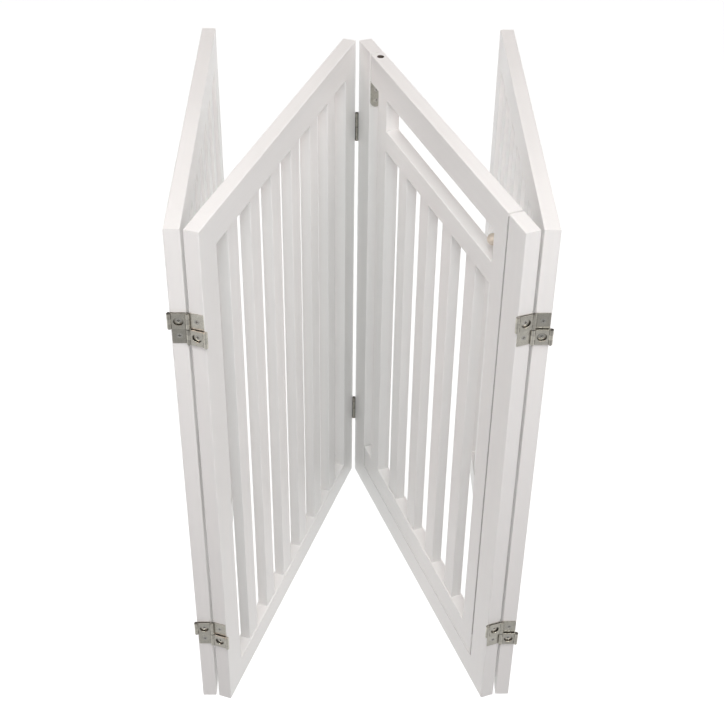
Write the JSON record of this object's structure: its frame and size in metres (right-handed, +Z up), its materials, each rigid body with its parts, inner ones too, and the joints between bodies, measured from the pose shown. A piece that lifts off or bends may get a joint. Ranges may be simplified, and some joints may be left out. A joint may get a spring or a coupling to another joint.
{
  "type": "pet gate",
  "caption": "Free-standing folding pet gate: slatted wooden panels on double-acting hinges, with a walk-through door held shut by a sliding bolt.",
  "frame": {"origin": "on the floor, under the centre of the standing gate's bounding box", "axes": "+Z up; +Y from the viewer towards the middle fold, which stands at the back; +X to the viewer's right"},
  "size_m": [0.4324, 0.5202, 0.762],
  "materials": {
    "painted_wood": "satin white paint",
    "hinge_plate": "satin nickel plate",
    "pin_steel": "satin",
    "screw_steel": "zinc plate",
    "bracket_steel": "satin nickel plate",
    "bolt_steel": "zinc plate",
    "turned_brass": "satin, pale"
  },
  "bodies": {
    "panel_1": {"hinge_left_low_leaf_panel_1": "hinge_plate", "hinge_left_low_link_panel_1": "hinge_plate", "hinge_left_top_leaf_panel_1": "hinge_plate", "hinge_left_top_link_panel_1": "hinge_plate", "panel_1_hinge_pins": "pin_steel", "panel_1_rail_bottom": "painted_wood", "panel_1_rail_top": "painted_wood", "panel_1_screws": "screw_steel", "panel_1_slats": "painted_wood", "panel_1_stile_free": "painted_wood", "panel_1_stile_hinged": "painted_wood"},
    "panel_2": {"hinge_centre_low_leaf_panel_2": "hinge_plate", "hinge_centre_low_link_panel_2": "hinge_plate", "hinge_centre_top_leaf_panel_2": "hinge_plate", "hinge_centre_top_link_panel_2": "hinge_plate", "hinge_left_low_leaf_panel_2": "hinge_plate", "hinge_left_low_link_panel_2": "hinge_plate", "hinge_left_top_leaf_panel_2": "hinge_plate", "hinge_left_top_link_panel_2": "hinge_plate", "panel_2_hinge_pins": "pin_steel", "panel_2_rail_bottom": "painted_wood", "panel_2_rail_top": "painted_wood", "panel_2_screws": "screw_steel", "panel_2_slats": "painted_wood", "panel_2_stile_inner": "painted_wood", "panel_2_stile_outer": "painted_wood"},
    "panel_3": {"door_floor_pin": "bolt_steel", "door_pivot_bracket": "bracket_steel", "hinge_centre_low_leaf_panel_3": "hinge_plate", "hinge_centre_low_link_panel_3": "hinge_plate", "hinge_centre_top_leaf_panel_3": "hinge_plate", "hinge_centre_top_link_panel_3": "hinge_plate", "hinge_right_low_leaf_panel_3": "hinge_plate", "hinge_right_low_link_panel_3": "hinge_plate", "hinge_right_top_leaf_panel_3": "hinge_plate", "hinge_right_top_link_panel_3": "hinge_plate", "panel_3_hinge_pins": "pin_steel", "panel_3_post_inner": "painted_wood", "panel_3_post_outer": "painted_wood", "panel_3_screws": "screw_steel", "panel_3_sill": "painted_wood"},
    "panel_4": {"hinge_right_low_leaf_panel_4": "hinge_plate", "hinge_right_low_link_panel_4": "hinge_plate", "hinge_right_top_leaf_panel_4": "hinge_plate", "hinge_right_top_link_panel_4": "hinge_plate", "panel_4_hinge_pins": "pin_steel", "panel_4_rail_bottom": "painted_wood", "panel_4_rail_top": "painted_wood", "panel_4_screws": "screw_steel", "panel_4_slats": "painted_wood", "panel_4_stile_free": "painted_wood", "panel_4_stile_hinged": "painted_wood"},
    "door": {"door_pivot_bolt": "bolt_steel", "door_rail_bottom": "painted_wood", "door_rail_middle": "painted_wood", "door_rail_top": "painted_wood", "door_slats": "painted_wood", "door_stile_latch": "painted_wood", "door_stile_pivot": "painted_wood"},
    "latch": {"latch_bolt": "turned_brass"}
  },
  "joints": [
    {"name": "left_fold", "type": "hinge", "parent": "panel_2", "child": "panel_1", "pos_m": [-0.19297, -0.25066, 0], "axis": [0, 0, 1], "range_deg": [-19.4, 160.6]},
    {"name": "centre_fold", "type": "hinge", "parent": "panel_2", "child": "panel_3", "pos_m": [0, 0.22555, 0], "axis": [0, 0, 1], "range_deg": [-39.5, 140.5]},
    {"name": "right_fold", "type": "hinge", "parent": "panel_3", "child": "panel_4", "pos_m": [0.19297, -0.25066, 0], "axis": [0, 0, -1], "range_deg": [-19.7, 160.3]},
    {"name": "door_swing", "type": "hinge", "parent": "panel_3", "child": "door", "pos_m": [0.02941, 0.17427, 0], "axis": [0, 0, -1], "range_deg": [0, 42]},
    {"name": "latch_slide", "type": "slide", "parent": "door", "child": "latch", "axis": [0.3379, -0.9412, 0], "range_m": [0, 0.011]}
  ]
}
